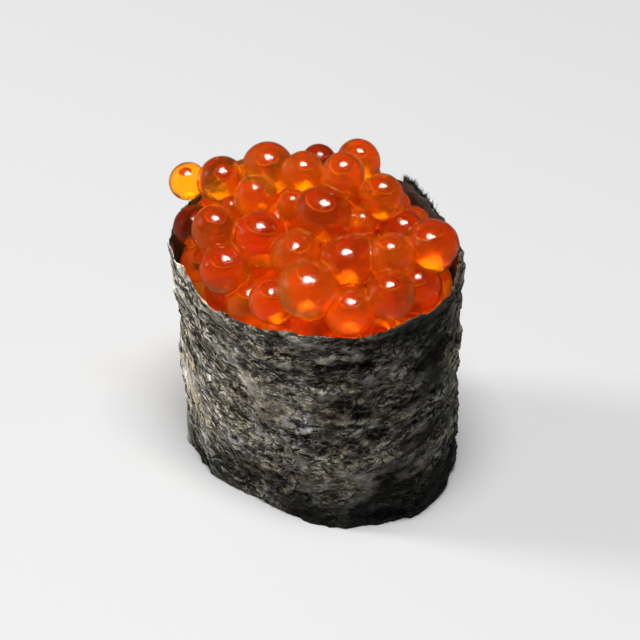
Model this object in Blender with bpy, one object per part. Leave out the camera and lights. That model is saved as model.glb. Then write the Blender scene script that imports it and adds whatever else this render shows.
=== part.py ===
"""A gunkan sushi: a pressed oval of rice, a tall strip of nori wrapped round it, and a heap
of salmon roe that fills the strip's cup and rises over its rim.

Metres, +Z up. The origin is the middle of the footprint, on the surface it stands on, and X
runs along the long axis of the oval. Angles go round the oval from +X towards +Y.
"""
import bmesh
import bpy
import numpy as np

MM = 0.001

# Driving dimensions: the strip of nori
HALF_LONG = 20.9 * MM            # outer face, from the middle to the rounded end
HALF_WIDE = 15.7 * MM            # outer face, from the middle to the flat side
SQUARENESS = 2.3                 # 2 is an ellipse; more flattens the long sides
WALL = 0.6 * MM                  # a moist sheet with its wrinkles
LAP = 0.35 * MM                  # how far the strip's outer end stands proud of the layer below
LAP_START, LAP_END = 22.0, 86.0  # degrees; the free outer end of the strip is at LAP_END
LAP_CLIMB = 10.0                 # degrees over which the outer layer climbs on to the inner
LAP_EDGE = 0.6                   # degrees over which it ends
RIM = 37.2 * MM                  # mean height of the strip's top edge
RIM_TILT = 2.6 * MM              # higher at the back than at the front
RIM_TILT_AT = 100.0              # degrees; where the tilt is highest
EAR, EAR_AT, EAR_SPREAD = 1.6 * MM, 237.0, 11.0      # a raised corner at the left end
DIP, DIP_AT, DIP_SPREAD = 1.6 * MM, 262.0, 20.0      # and a low stretch beside it
TEAR, TEAR_AT, TEAR_SPREAD = 1.0 * MM, 85.0, 14.0    # the ragged corner at the free end
FLARE, FLARE_AT, FLARE_SPREAD = 1.8 * MM, 224.0, 20.0   # the rim leans out at the left end
DENT, DENT_AT, DENT_SPREAD = 1.1 * MM, 332.0, 20.0      # the foot is pressed in at the front
FOOT_SWAY = 0.4 * MM             # how far the foot leaves the true oval
RIM_SWAY = 0.3 * MM              # how far the rim does
WAIST = 0.25 * MM                # how far the wall draws in between foot and rim
BAND_AROUND, BAND_LEVELS = 112, 8

# Driving dimensions: the rice and the roe
CLEARANCE = 0.35 * MM            # between neighbouring pieces
RICE_TOP = 28.5 * MM
RICE_BUMP = 0.5 * MM             # uneven outline of the pressed rice
RICE_AROUND = 72
# height in mm, and how far in mm the ring lies inside the strip's inner face
RICE_RINGS = ((0.0, 1.6), (0.5, 0.5), (2.0, 0.1), (9.0, 0.0), (18.0, 0.0), (25.0, 0.2),
              (27.4, 1.2))
RICE_MOUND = ((0.75, 28.0), (0.4, 28.4))             # share of the last ring, height in mm
EGG_MEAN, EGG_SPREAD = 3.05 * MM, 0.45 * MM
EGG_MIN, EGG_MAX = 2.0 * MM, 3.7 * MM
LOOSE_EGGS = 52
LOOSE_HEIGHTS = (30.0 * MM, 39.0 * MM)
CROWN = 6.0 * MM                 # how far the heap's middle rises over the rim
CROWN_BACK = 2.5 * MM            # the crown lies a little behind the middle
UNDER = 1.8 * MM                 # loose eggs lie this much lower than the dome
BROW = 1.6 * MM                  # how far the outer eggs' middles rise over the rim
CLING = 0.004                    # wet eggs draw together over the cup, share a step
OVERHANG = 0.72                  # share of a radius that an egg's middle stays inside the rim
EGG_GIVE = 0.96                  # touching eggs flatten to this share of their distance
SETTLE_STEPS = 700
SEED = 10
EGG_PUSH, RICE_PUSH = 0.5, 0.8   # share of an overlap undone in a step
DOME_PULL = 0.1                  # share of the height over the dome lost in a step
WEIGHT = 0.02 * MM               # fall in a step
HOME_PULL = 0.25                 # share of the way home that a landmark egg goes in a step
STRIDE = 0.6 * MM                # longest move in a step
CORE_AROUND = 72
# height, and how far the ring lies inside the strip's outer face
CORE_RINGS = ((RICE_TOP + CLEARANCE + 0.5 * MM, 1.6 * MM), (RIM - 4.5 * MM, 1.6 * MM),
              (RIM - 0.5 * MM, 4.0 * MM), (RIM + 2.0 * MM, 8.0 * MM))
SKIN_GRAIN = 0.7 * MM            # grid that the heap is wrapped on
SKIN_FACETS = 4800               # triangles left on the heap

# Eggs that give the heap its outline: angle in degrees, share of the way from the middle to
# the outer face, height of the centre over the rim, radius
LANDMARK_EGGS = {
    "stray": (190.0, 1.00, 2.4 * MM, 2.5 * MM),
    "corner": (213.0, 0.93, 0.4 * MM, 2.9 * MM),
    "left": (185.0, 0.80, 3.7 * MM, 3.1 * MM),
    "high": (166.0, 0.58, 4.3 * MM, 3.35 * MM),
    "creased": (188.0, 0.48, 4.4 * MM, 2.8 * MM),
    "dark": (118.0, 0.62, 3.5 * MM, 2.3 * MM),
    "peak": (140.0, 0.34, 5.5 * MM, 2.8 * MM),
    "back": (92.0, 0.62, 4.6 * MM, 2.8 * MM),
    "ridge": (80.0, 0.25, 5.9 * MM, 3.0 * MM),
    "behind": (50.0, 0.48, 6.0 * MM, 2.9 * MM),
    "crown": (0.0, 0.06, 6.6 * MM, 3.8 * MM),
    "shoulder": (232.0, 0.76, 3.2 * MM, 3.2 * MM),
    "slope": (248.0, 0.48, 4.8 * MM, 3.5 * MM),
    "breast": (278.0, 0.42, 5.6 * MM, 3.3 * MM),
    "right": (332.0, 0.50, 5.0 * MM, 3.5 * MM),
    "flank": (0.0, 0.66, 4.6 * MM, 3.0 * MM),
    "side": (17.0, 0.80, 3.4 * MM, 3.35 * MM),
    "front_left": (251.0, 0.88, 1.7 * MM, 3.2 * MM),
    "near": (276.0, 0.80, 1.6 * MM, 3.1 * MM),
    "front": (298.0, 0.74, 4.2 * MM, 3.75 * MM),
    "lip": (297.0, 0.86, -1.5 * MM, 2.9 * MM),
    "corner_right": (342.0, 0.82, 2.3 * MM, 3.1 * MM),
}


def clear_scene():
    """Remove whatever the file starts with."""
    for thing in list(bpy.data.objects):
        bpy.data.objects.remove(thing, do_unlink=True)


def material(name, colour, roughness):
    """A plain Principled material."""
    made = bpy.data.materials.new(name)
    made.use_nodes = True
    shader = made.node_tree.nodes["Principled BSDF"]
    shader.inputs["Base Color"].default_value = (*colour, 1.0)
    shader.inputs["Roughness"].default_value = roughness
    return made


def add_object(name, mesh, finish):
    """Put a finished mesh into the scene under its own name."""
    made = bpy.data.objects.new(name, mesh)
    made.data.materials.append(finish)
    bpy.context.collection.objects.link(made)
    return made


def closed_mesh(name, points, faces):
    """A mesh from points and faces, with its faces turned outwards."""
    mesh = bpy.data.meshes.new(name)
    mesh.from_pydata(np.asarray(points).tolist(), [], [list(face) for face in faces])
    work = bmesh.new()
    work.from_mesh(mesh)
    bmesh.ops.recalc_face_normals(work, faces=work.faces)
    work.to_mesh(mesh)
    work.free()
    return mesh


# ---- the oval and the strip's edge -----------------------------------------------------

def power(value, exponent):
    """A power that keeps the sign."""
    return np.sign(value) * np.abs(value) ** exponent


def oval(angle, inset=0.0):
    """Point and outward normal of the oval, moved inwards along the normal by inset."""
    x = HALF_LONG * power(np.cos(angle), 2.0 / SQUARENESS)
    y = HALF_WIDE * power(np.sin(angle), 2.0 / SQUARENESS)
    normal = np.stack([power(x / HALF_LONG, SQUARENESS - 1.0) / HALF_LONG,
                       power(y / HALF_WIDE, SQUARENESS - 1.0) / HALF_WIDE], axis=-1)
    normal /= np.linalg.norm(normal, axis=-1, keepdims=True)
    return np.stack([x, y], axis=-1) - normal * np.asarray(inset)[..., None], normal


def bump(angle, centre, spread):
    """A smooth bump of height 1 round the oval, with its middle at centre degrees."""
    off = (np.degrees(angle) - centre + 180.0) % 360.0 - 180.0
    return np.exp(-(off / spread) ** 2)


def rim_height(angle):
    """Height of the strip's top edge: a tilt, a raised corner, a dip and the ragged free end."""
    tilt = RIM_TILT * np.cos(angle - np.radians(RIM_TILT_AT))
    return (RIM + tilt + EAR * bump(angle, EAR_AT, EAR_SPREAD)
            - DIP * bump(angle, DIP_AT, DIP_SPREAD) + TEAR * bump(angle, TEAR_AT, TEAR_SPREAD))


def sway(angle, level):
    """How far the strip's middle surface leaves the oval; level runs from 0, foot, to 1, rim."""
    foot = FOOT_SWAY * (np.cos(3.0 * angle + 1.0) + 0.5 * np.cos(7.0 * angle + 0.4))
    rim = RIM_SWAY * (np.sin(4.0 * angle + 0.8) + 0.5 * np.cos(9.0 * angle))
    foot = foot - DENT * bump(angle, DENT_AT, DENT_SPREAD)
    flare = FLARE * bump(angle, FLARE_AT, FLARE_SPREAD) * level ** 1.5
    return foot * (1.0 - level) ** 2 + rim * level ** 2 + flare - WAIST * np.sin(np.pi * level)


def lap(angle):
    """The second layer of the strip: it climbs over the inner end and stops at the free end."""
    degrees = np.degrees(angle) % 360.0
    climb = np.clip((degrees - LAP_START) / LAP_CLIMB, 0.0, 1.0)
    climb = climb * climb * (3.0 - 2.0 * climb)
    return LAP * climb * (degrees < LAP_END - LAP_EDGE / 2.0)


# ---- the strip of nori ------------------------------------------------------------------

def nori_band(finish):
    """A wall carried round the oval. Each ring of points is the oval moved along its normal by
    the sway, and the outer face by the lap too; rings run from the foot to the rim."""
    levels = np.linspace(0.0, 1.0, BAND_LEVELS)
    angle = np.sort(np.append(np.linspace(0.0, 2.0 * np.pi, BAND_AROUND, endpoint=False),
                              np.radians([LAP_END - LAP_EDGE, LAP_END])))
    ground, normal = oval(angle)
    points = []
    for depth, extra in ((0.0, lap(angle)), (WALL, 0.0)):
        for level in levels:
            move = (sway(angle, level) + extra - depth)[:, None]
            ring = ground + normal * move
            points.append(np.column_stack([ring, rim_height(angle) * level]))
    count, rows = len(angle), len(levels)
    index = np.arange(2 * rows * count).reshape(2, rows, count)
    following = np.roll(index, -1, axis=2)
    faces = []
    for side in (0, 1):
        for row in range(rows - 1):
            faces += zip(index[side, row], following[side, row],
                         following[side, row + 1], index[side, row + 1])
    for row in (0, rows - 1):
        faces += zip(index[0, row], following[0, row], following[1, row], index[1, row])
    return add_object("nori_band", closed_mesh("nori_band", np.vstack(points), faces), finish)


# ---- the rice ---------------------------------------------------------------------------

def rice_bed(finish):
    """A pressed block: rings from a flat underside, rounded at its edges, up to a low mound."""
    angle = np.linspace(0.0, 2.0 * np.pi, RICE_AROUND, endpoint=False)
    uneven = RICE_BUMP * (0.5 + 0.5 * np.cos(11.0 * angle + 3.0 * np.sin(2.0 * angle)))
    points = []
    for height, inset in RICE_RINGS:
        inside = WALL + CLEARANCE + uneven + inset * MM
        ring = oval(angle, inside - sway(angle, height * MM / RIM))[0]
        points.append(np.column_stack([ring, np.full(RICE_AROUND, height * MM)]))
    for share, height in RICE_MOUND:
        ring = points[len(RICE_RINGS) - 1][:, :2] * share
        points.append(np.column_stack([ring, np.full(RICE_AROUND, height * MM)]))
    rows = len(points)
    points = np.vstack(points + [[[0.0, 0.0, RICE_TOP]]])
    index = np.arange(rows * RICE_AROUND).reshape(rows, RICE_AROUND)
    following = np.roll(index, -1, axis=1)
    faces = [tuple(index[0])]
    for row in range(rows - 1):
        faces += zip(index[row], following[row], following[row + 1], index[row + 1])
    top = rows * RICE_AROUND
    faces += [(a, b, top) for a, b in zip(index[-1], following[-1])]
    return add_object("rice_bed", closed_mesh("rice_bed", points, faces), finish)


# ---- the roe ----------------------------------------------------------------------------

def start_eggs():
    """Centres and radii before settling: the landmark eggs, then loose ones on a golden-angle
    spiral, at seeded heights."""
    draw = np.random.default_rng(SEED)
    centres, radii = [], []
    for angle, share, over, radius in LANDMARK_EGGS.values():
        turn = np.radians(angle)
        spot = oval(turn)[0] * share
        centres.append([*spot, rim_height(turn) + over])
        radii.append(radius)
    golden = np.pi * (3.0 - np.sqrt(5.0))
    for number in range(LOOSE_EGGS):
        share = np.sqrt(draw.uniform(0.02, 0.9))
        spot = oval(number * golden)[0] * share
        centres.append([*spot, draw.uniform(*LOOSE_HEIGHTS)])
        radii.append(np.clip(draw.normal(EGG_MEAN, EGG_SPREAD), EGG_MIN, EGG_MAX))
    held = np.zeros(len(centres))
    held[:len(LANDMARK_EGGS)] = 1.0
    return np.array(centres), np.array(radii), held


def strip_faces():
    """The strip as the eggs meet it: its top edge, its inner face and that face's normals."""
    walk = np.linspace(0.0, 2.0 * np.pi, 240, endpoint=False)
    edge = np.column_stack([oval(walk, WALL / 2.0 - sway(walk, 1.0))[0], rim_height(walk)])
    inner, outward = oval(walk, WALL - np.minimum(sway(walk, 0.8), sway(walk, 1.0)))
    return edge, inner, outward


def rim_beside(centre):
    """Height of the strip's edge beside each egg."""
    return rim_height(np.arctan2(centre[:, 1] / HALF_WIDE, centre[:, 0] / HALF_LONG))


def keep_off_strip(centre, radius, held, faces):
    """Move each egg straight out of the strip: inwards from its face when the egg is below the
    rim, and away from its edge. Loose eggs above the rim keep their middles over the cup."""
    edge, inner, outward = faces
    own = np.arange(len(centre))
    off = centre[:, None, :2] - inner[None]
    near = (off ** 2).sum(-1).argmin(1)
    room = -(off[own, near] * outward[near]).sum(1)
    want = np.where(held > 0.0, -HALF_LONG, OVERHANG * radius)
    want = np.where(centre[:, 2] < rim_beside(centre), radius + CLEARANCE, want)
    back = np.clip(want - room, 0.0, None)
    centre = centre - np.column_stack([outward[near], np.zeros(len(centre))]) * back[:, None]
    off = centre[:, None] - edge[None]
    near = (off ** 2).sum(-1).argmin(1)
    off = off[own, near]
    far = np.linalg.norm(off, axis=1)
    out = np.clip(radius + WALL / 2.0 + CLEARANCE - far, 0.0, None)
    return centre + off / far[:, None] * out[:, None]


def settle_eggs():
    """Push the eggs apart, off the rice and off the strip, and down under a domed top, until
    they lie in each other's hollows. Landmark eggs are pulled back to their places."""
    centre, radius, held = start_eggs()
    home = centre.copy()
    faces = strip_faces()
    touching = (radius[:, None] + radius[None]) * EGG_GIVE
    for _ in range(SETTLE_STEPS):
        # one another
        apart = centre[:, None] - centre[None]
        length = np.sqrt((apart ** 2).sum(-1)) + np.eye(len(centre))
        short = np.clip(touching - length, 0.0, None)
        np.fill_diagonal(short, 0.0)
        push = (apart / length[..., None] * short[..., None] * EGG_PUSH).sum(1)
        # weight, and the dome that the heap keeps to
        rim = rim_beside(centre)
        reach = np.hypot(centre[:, 0] / HALF_LONG, (centre[:, 1] - CROWN_BACK) / HALF_WIDE)
        dome = rim + BROW + (CROWN - BROW) * (1.0 - np.clip(reach, 0.0, 1.2) ** 3)
        over = centre[:, 2] - dome + UNDER * (1.0 - held)
        push[:, 2] -= DOME_PULL * np.clip(over, 0.0, None) + WEIGHT
        # the rice below
        floor = RICE_TOP + CLEARANCE + radius
        push[:, 2] += RICE_PUSH * np.clip(floor - centre[:, 2], 0.0, None)
        # wet eggs cling together; landmarks go back to their places
        cling = CLING * (1.0 - held) * (centre[:, 2] > rim + BROW)
        push[:, :2] -= centre[:, :2] * cling[:, None]
        push += (home - centre) * held[:, None] * HOME_PULL
        stride = np.linalg.norm(push, axis=1, keepdims=True)
        centre = centre + push * np.minimum(1.0, STRIDE / np.maximum(stride, 1e-12))
        centre = keep_off_strip(centre, radius, held, faces)
    return centre, radius


def ball(work, centre, radius):
    """Add one egg to a bmesh."""
    made = bmesh.ops.create_icosphere(work, subdivisions=3, radius=radius)
    bmesh.ops.translate(work, verts=made["verts"], vec=centre)


def keep_largest(mesh):
    """Drop every closed shell but the one with the most points: the pockets between buried
    eggs."""
    work = bmesh.new()
    work.from_mesh(mesh)
    left = set(work.verts)
    shells = []
    while left:
        shell, front = set(), [left.pop()]
        while front:
            vert = front.pop()
            shell.add(vert)
            for edge in vert.link_edges:
                other = edge.other_vert(vert)
                if other in left:
                    left.remove(other)
                    front.append(other)
        shells.append(shell)
    largest = max(shells, key=len)
    for shell in shells:
        if shell is not largest:
            bmesh.ops.delete(work, geom=list(shell), context="VERTS")
    work.to_mesh(mesh)
    work.free()


def roe_heap(finish):
    """All the eggs and the filling between them as one skin: balls and a core, joined and
    wrapped by a voxel remesh."""
    centres, radii = settle_eggs()
    work = bmesh.new()
    for centre, radius in zip(centres, radii):
        ball(work, centre, radius)
    angle = np.linspace(0.0, 2.0 * np.pi, CORE_AROUND, endpoint=False)
    rows = []
    for height, inset in CORE_RINGS:
        ring = oval(angle, inset)[0]
        rows.append([work.verts.new((x, y, height)) for x, y in ring])
    for lower, upper in zip(rows, rows[1:]):
        for k in range(CORE_AROUND):
            after = (k + 1) % CORE_AROUND
            work.faces.new((lower[k], lower[after], upper[after], upper[k]))
    work.faces.new(rows[0][::-1])
    work.faces.new(rows[-1])
    rough = bpy.data.meshes.new("roe_rough")
    work.to_mesh(rough)
    work.free()
    guide = bpy.data.objects.new("roe_rough", rough)
    bpy.context.collection.objects.link(guide)
    wrap = guide.modifiers.new("wrap", "REMESH")
    wrap.mode = "VOXEL"
    wrap.voxel_size = SKIN_GRAIN
    wrap.use_smooth_shade = True
    seen = guide.evaluated_get(bpy.context.evaluated_depsgraph_get())
    skin = bpy.data.meshes.new_from_object(seen)
    skin.name = "roe_heap"
    bpy.data.objects.remove(guide, do_unlink=True)
    bpy.data.meshes.remove(rough)
    keep_largest(skin)
    heap = add_object("roe_heap", skin, finish)
    thin = heap.modifiers.new("thin", "DECIMATE")
    thin.ratio = SKIN_FACETS / sum(len(face.vertices) - 2 for face in skin.polygons)
    return heap


def main():
    clear_scene()
    nori_band(material("nori", (0.012, 0.014, 0.013), 0.55))
    rice_bed(material("rice", (0.80, 0.78, 0.70), 0.45))
    roe_heap(material("roe", (0.72, 0.13, 0.01), 0.12))


main()
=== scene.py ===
"""The looks of a gunkan sushi: a wrinkled strip of nori round pressed rice, heaped with roe.

Metres, +Z up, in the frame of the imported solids. Angles go round the oval from +X towards +Y.
Every piece is a surface worked out with numpy from a few sizes, and closed.
"""
from functools import partial

import bpy
import numpy as np
from mathutils import Matrix, Vector
from numpy.linalg import norm
from numpy.random import default_rng


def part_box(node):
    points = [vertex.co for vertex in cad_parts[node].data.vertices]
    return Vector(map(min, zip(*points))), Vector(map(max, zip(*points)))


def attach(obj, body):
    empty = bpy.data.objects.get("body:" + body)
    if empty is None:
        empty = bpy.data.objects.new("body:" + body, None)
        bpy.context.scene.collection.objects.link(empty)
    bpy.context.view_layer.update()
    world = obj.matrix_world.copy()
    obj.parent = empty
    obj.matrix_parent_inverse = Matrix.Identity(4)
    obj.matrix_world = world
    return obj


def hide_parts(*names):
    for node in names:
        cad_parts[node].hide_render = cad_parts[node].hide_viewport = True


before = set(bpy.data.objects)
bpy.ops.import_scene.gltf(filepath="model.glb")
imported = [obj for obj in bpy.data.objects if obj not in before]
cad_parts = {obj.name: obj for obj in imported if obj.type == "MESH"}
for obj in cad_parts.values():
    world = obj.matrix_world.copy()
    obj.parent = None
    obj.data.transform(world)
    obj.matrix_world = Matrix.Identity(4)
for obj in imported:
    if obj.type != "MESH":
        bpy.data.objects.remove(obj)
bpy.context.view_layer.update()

MM = 0.001
TURN = 2 * np.pi
GOLDEN = np.pi * (3 - np.sqrt(5))

# ---- sizes of the solids, as they were built

HALF_LONG = 20.9 * MM  # outer face of the strip, from the middle to the rounded end
HALF_WIDE = 15.7 * MM  # and to the flat side
SQUARENESS = 2.3  # 2 is an ellipse; more flattens the long sides
WALL = 0.6 * MM  # room that the strip takes up
LAP = 0.35 * MM  # how far the outer end stands proud of the layer below
LAP_START, LAP_END = 22, 86  # degrees; the free outer end is at LAP_END
LAP_CLIMB = 10  # degrees over which the outer layer climbs on to the inner
RIM, RIM_TILT, RIM_TILT_AT = 37.2 * MM, 2.6 * MM, 100
# bends of the strip and its edge: how much, at how many degrees, and how widely spread
EAR = (1.6 * MM, 237, 11)
DIP = (1.6 * MM, 262, 20)
TEAR = (1 * MM, 85, 14)
FLARE = (1.8 * MM, 224, 20)
DENT = (1.1 * MM, 332, 20)
FOOT_SWAY, RIM_SWAY, WAIST = 0.4 * MM, 0.3 * MM, 0.25 * MM
CLEARANCE = 0.35 * MM
RICE_TOP = 28.5 * MM
# the eggs, and how they settle
EGG_MEAN, EGG_SPREAD = 3.05 * MM, 0.45 * MM
EGG_MIN, EGG_MAX = 2 * MM, 3.7 * MM
LOOSE_EGGS = 52
LOOSE_HEIGHTS = (30 * MM, 39 * MM)
CROWN, CROWN_BACK, BROW, UNDER = 6 * MM, 2.5 * MM, 1.6 * MM, 1.8 * MM
CLING, OVERHANG, EGG_GIVE = 0.004, 0.72, 0.96
SETTLE_STEPS, SEED = 700, 10
EGG_PUSH, RICE_PUSH, DOME_PULL, HOME_PULL = 0.5, 0.8, 0.1, 0.25
WEIGHT, STRIDE = 0.02 * MM, 0.6 * MM

# eggs that give the heap its outline: angle in degrees, share of the way from the middle to
# the outer face, and in mm the height of the centre over the rim and the radius
LANDMARK_EGGS = {
    "stray": (190, 1, 2.4, 2.5),
    "corner": (213, 0.93, 0.4, 2.9),
    "left": (185, 0.80, 3.7, 3.1),
    "high": (166, 0.58, 4.3, 3.35),
    "creased": (188, 0.48, 4.4, 2.8),
    "dark": (118, 0.62, 3.5, 2.3),
    "peak": (140, 0.34, 5.5, 2.8),
    "back": (92, 0.62, 4.6, 2.8),
    "ridge": (80, 0.25, 5.9, 3),
    "behind": (50, 0.48, 6, 2.9),
    "crown": (0, 0.06, 6.6, 3.8),
    "shoulder": (232, 0.76, 3.2, 3.2),
    "slope": (248, 0.48, 4.8, 3.5),
    "breast": (278, 0.42, 5.6, 3.3),
    "right": (332, 0.50, 5, 3.5),
    "flank": (0, 0.66, 4.6, 3),
    "side": (17, 0.80, 3.4, 3.35),
    "front_left": (251, 0.88, 1.7, 3.2),
    "near": (276, 0.80, 1.6, 3.1),
    "front": (298, 0.74, 4.2, 3.75),
    "lip": (297, 0.86, -1.5, 2.9),
    "corner_right": (342, 0.82, 2.3, 3.1),
}

# ---- sizes and seeds of the looks

SHEET = 0.28 * MM  # thickness of the moist nori
HEM = 0.012  # share of its height over which its edges are rounded
SAG = 0.5 * MM  # how far its edge hangs under the solid's
DIP_SAG = (1.5 * MM, 250, 19)  # how much more under the eggs on the left
SUNK = 0.10 * MM  # how far its smooth face lies inside the solid's
INNER_END = 16  # degrees; where the strip's hidden inner end lies
STRIP_COLUMNS, STRIP_ROWS, LINING_ROWS = 520, 138, 22
STRAND_SEED, FRINGE_SEED, RICE_SEED, ROE_SEED, CREASE_SEED = 5, 6, 8, 31, 4


# ---- numbers and meshes

def power(value, exponent):
    """A power that keeps the sign."""
    return np.sign(value) * np.abs(value) ** exponent


def smooth(low, high, value):
    """0 below low, 1 above high, and an S curve 3t^2 - 2t^3 between."""
    t = np.clip((value - low) / (high - low), 0, 1)
    return t * t * (3 - 2 * t)


def unit(vectors):
    """The same directions, each one unit long."""
    return vectors / norm(vectors, axis=-1, keepdims=True)


def steps_round(count):
    """The angles of this many even steps round a circle."""
    return TURN * np.arange(count) / count


def lifted(ground, height):
    """Points over these places on the ground, at these heights."""
    height = np.broadcast_to(height, ground.shape[:-1])
    return np.concatenate([ground, height[..., None]], axis=-1)


LATTICE = 256  # whole numbers after which the noise repeats


def grain(across, up, seed, period=LATTICE):
    """Smooth noise from -1 to 1 on the plane. Seeded values sit on the whole numbers and an S
    curve runs between them; across repeats after period steps."""
    table = default_rng(seed).uniform(-1, 1, (LATTICE, LATTICE))
    column, row = np.floor(across).astype(int), np.floor(up).astype(int)
    s, t = smooth(0, 1, across - column), smooth(0, 1, up - row)
    left, right = column % period, (column + 1) % period
    below, above = row % LATTICE, (row + 1) % LATTICE
    return ((table[left, below] * (1 - s) + table[right, below] * s) * (1 - t)
            + (table[left, above] * (1 - s) + table[right, above] * s) * t)


def put(name, data):
    """An object in the scene for this mesh, lamp or camera."""
    made = bpy.data.objects.new(name, data)
    bpy.context.scene.collection.objects.link(made)
    return made


def piece(name, points, faces, finish, slot, **marks):
    """A closed smooth-shaded mesh; the slot is not used. Marks are numbers, one per point,
    that its material can read."""
    mesh = bpy.data.meshes.new(name)
    mesh.from_pydata(np.reshape(points, (-1, 3)).tolist(), [], faces)
    mesh.shade_smooth()
    mesh.materials.append(finish.material)
    for key, values in marks.items():
        layer = mesh.attributes.new(key, "FLOAT", "POINT")
        layer.data.foreach_set("value", np.asarray(values, np.float32).ravel())
    made = put(name, mesh)
    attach(made, "root")
    return made


def ring_quads(ring, ahead):
    """Quads from rings of points to the rings ahead of them, closed round each ring."""
    corners = [ring, ahead, np.roll(ahead, -1, axis=1), np.roll(ring, -1, axis=1)]
    return np.stack(corners, axis=-1).reshape(-1, 4)


def repeated(faces, copies, stride):
    """The same faces once for each copy of a shape that has stride points."""
    start = (np.arange(copies) * stride)[:, None, None]
    return (faces + start).reshape(-1, faces.shape[1]).tolist()


def ball_directions(around, rings):
    """Unit directions of a ball: the top pole, rings of longitudes going down, the bottom."""
    polar = (np.pi * np.arange(1, rings + 1) / (rings + 1))[:, None]
    turn = steps_round(around)
    ring = np.stack([np.sin(polar) * np.cos(turn), np.sin(polar) * np.sin(turn),
                     np.repeat(np.cos(polar), around, axis=1)], axis=-1)
    return np.vstack([[[0, 0, 1]], ring.reshape(-1, 3), [[0, 0, -1]]])


def ball_faces(around, rings, copies):
    """Quads between the rings and triangles at the poles, for this many balls in a row."""
    ring = 1 + np.arange(rings * around).reshape(rings, around)
    after = np.roll(ring, -1, axis=1)
    last = rings * around + 1
    top = np.stack([np.zeros(around, int), ring[0], after[0]], axis=-1)
    bottom = np.stack([np.full(around, last), after[-1], ring[-1]], axis=-1)
    return (repeated(ring_quads(ring[:-1], ring[1:]), copies, last + 1)
            + repeated(np.vstack([top, bottom]), copies, last + 1))


def sliver_faces(steps, sides, copies):
    """Quads round closed slivers of this many rings, with a face over each end ring."""
    ring = np.arange(steps * sides).reshape(steps, sides)
    after = np.roll(ring, -1, axis=1)
    quads = np.stack([ring[:-1], after[:-1], after[1:], ring[1:]], axis=-1).reshape(-1, 4)
    ends = np.stack([ring[0][::-1], ring[-1]])
    return repeated(quads, copies, ring.size) + repeated(ends, copies, ring.size)


def random_turns(count, draw):
    """Random rotation matrices, from unit quaternions with normal parts."""
    quaternion = draw.normal(size=(4, count))
    w, x, y, z = quaternion / norm(quaternion, axis=0)
    rows = ((1 - 2 * (y * y + z * z), 2 * (x * y - z * w), 2 * (x * z + y * w)),
            (2 * (x * y + z * w), 1 - 2 * (x * x + z * z), 2 * (y * z - x * w)),
            (2 * (x * z - y * w), 2 * (y * z + x * w), 1 - 2 * (x * x + y * y)))
    return np.moveaxis(np.array(rows), -1, 0)


# ---- the oval and the strip's edge

def oval(angle, inset=0):
    """Point and outward normal of the oval, moved inwards along the normal by inset."""
    x = HALF_LONG * power(np.cos(angle), 2 / SQUARENESS)
    y = HALF_WIDE * power(np.sin(angle), 2 / SQUARENESS)
    normal = unit(np.stack([power(x / HALF_LONG, SQUARENESS - 1) / HALF_LONG,
                            power(y / HALF_WIDE, SQUARENESS - 1) / HALF_WIDE], axis=-1))
    return np.stack([x, y], axis=-1) - normal * np.asarray(inset)[..., None], normal


def bump(angle, height, centre, spread):
    """A smooth bump round the oval, with its middle at centre degrees."""
    off = (np.degrees(angle) - centre + 180) % 360 - 180
    return height * np.exp(-(off / spread) ** 2)


def rim_height(angle):
    """Height of the strip's top edge: a tilt, a raised corner, a dip and the ragged free end."""
    tilt = RIM_TILT * np.cos(angle - np.radians(RIM_TILT_AT))
    return RIM + tilt + bump(angle, *EAR) - bump(angle, *DIP) + bump(angle, *TEAR)


def sway(angle, level):
    """How far the strip's middle surface leaves the oval; level runs from 0, foot, to 1, rim."""
    foot = FOOT_SWAY * (np.cos(3 * angle + 1) + 0.5 * np.cos(7 * angle + 0.4))
    rim = RIM_SWAY * (np.sin(4 * angle + 0.8) + 0.5 * np.cos(9 * angle))
    foot = foot - bump(angle, *DENT)
    flare = bump(angle, *FLARE) * level ** 1.5
    return foot * (1 - level) ** 2 + rim * level ** 2 + flare - WAIST * np.sin(np.pi * level)


# angle against distance walked round the oval, which repeats after one lap
ARC_STEPS = 2880
ARC_ANGLE = np.linspace(0, TURN, ARC_STEPS + 1)
ARC_LENGTH = np.cumsum(norm(np.diff(oval(ARC_ANGLE)[0], axis=0), axis=1))
ARC_LENGTH = np.concatenate([[0], ARC_LENGTH])
GIRTH = ARC_LENGTH[-1]


def arc(angle):
    """Distance walked round the oval to this angle."""
    laps = np.floor(angle / TURN)
    return laps * GIRTH + np.interp(angle - laps * TURN, ARC_ANGLE, ARC_LENGTH)


def arc_to_angle(length):
    """The angle reached after walking this far."""
    laps = np.floor(length / GIRTH)
    return laps * TURN + np.interp(length - laps * GIRTH, ARC_LENGTH, ARC_ANGLE)


STRIP_START, STRIP_END = arc(np.radians(INNER_END)), arc(np.radians(360 + LAP_END))


# ---- the nori

# again how much, at how many degrees, and how widely spread
GRAIN_LEAN = (0.95, 226, 34)  # slope of the fibres
DRAWN = (1, 234, 38)  # where long folds take over from short crinkles
SHAGGY_AND_SHEEN = (1, 226, 42)  # where the shreds are longer, and painted paler as painted sheen on the left end
# painted sheen of the light on the left end, and painted shade on the right
PAINTED_SHEEN_LEFT, PAINTED_SHADE_RIGHT = (1, 228, 32), (0.26, 350, 36)
# ridges: depth in mm, seed, how many go round the strip, and their width in mm
SHORT_RIDGES = ((0.22, 2, 40, 2), (0.17, 3, 90, 1), (0.10, 4, 150, 0.60), (0.22, 9, 15, 2.4))
LONG_RIDGES = ((0.26, 5, 20, 1.9), (0.24, 6, 42, 0.95), (0.11, 8, 100, 0.55))
RIM_TEETH = ((0.38, 11, 30), (0.26, 12, 90), (0.16, 13, 230))  # depth in mm, seed, how many


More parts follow.
